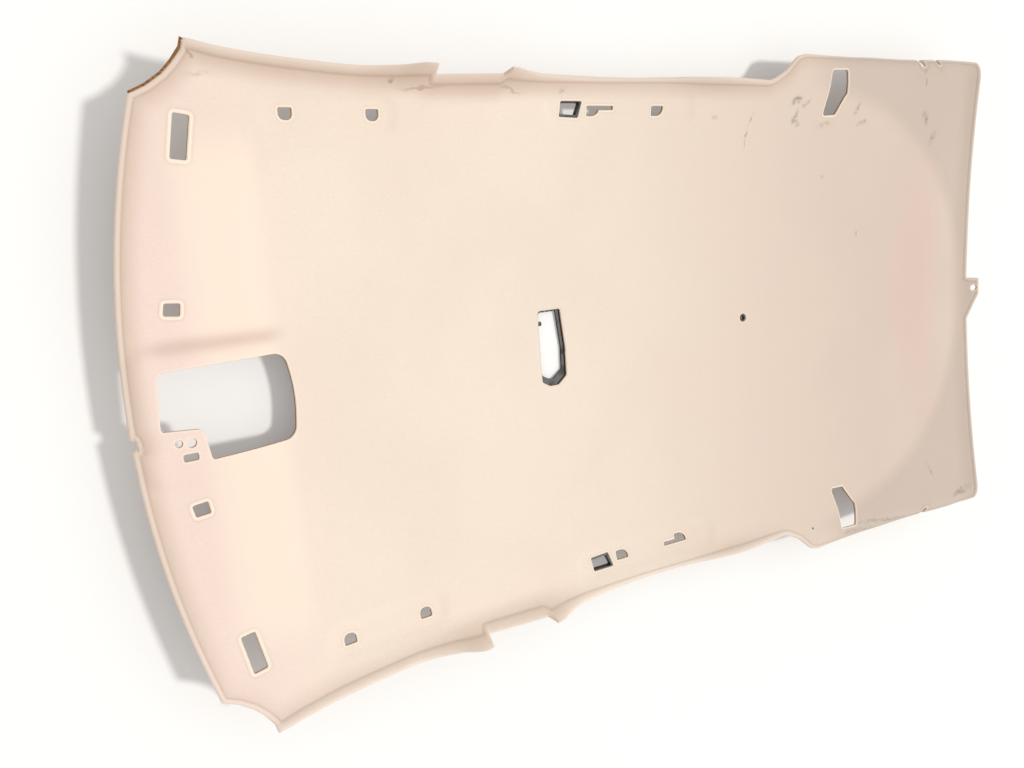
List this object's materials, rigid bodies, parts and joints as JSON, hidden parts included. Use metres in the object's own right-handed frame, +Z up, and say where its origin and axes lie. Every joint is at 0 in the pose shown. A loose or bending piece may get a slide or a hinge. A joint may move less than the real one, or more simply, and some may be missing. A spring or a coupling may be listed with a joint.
{
  "type": "car headliner panel",
  "caption": "Moulded car roof lining: a shallow knit-covered fibre board shell with turned-up side flanges and openings for console, lamps, sun visors and grab handles",
  "frame": {"origin": "centre of the bounding box's base, with the panel lying on its back", "axes": "+X towards the tail of the car, +Y towards its left side, +Z up, which is the cabin side of the panel"},
  "size_m": [2.2721, 1.2202, 0.1598],
  "materials": {
    "knit": "light cream foam-backed knit, matt, faintly pink towards the front",
    "fibre_board": "brown moulded fibre board, matt, raw at its cut edges",
    "black_plastic": "black moulded plastic, slightly satin"
  },
  "bodies": {
    "root": {"face_fabric": "knit", "headliner_board": "fibre_board", "dome_lamp_frame": "black_plastic", "spot_bush": "black_plastic", "lamp_box_left": "black_plastic", "lamp_box_right": "black_plastic"}
  },
  "joints": []
}
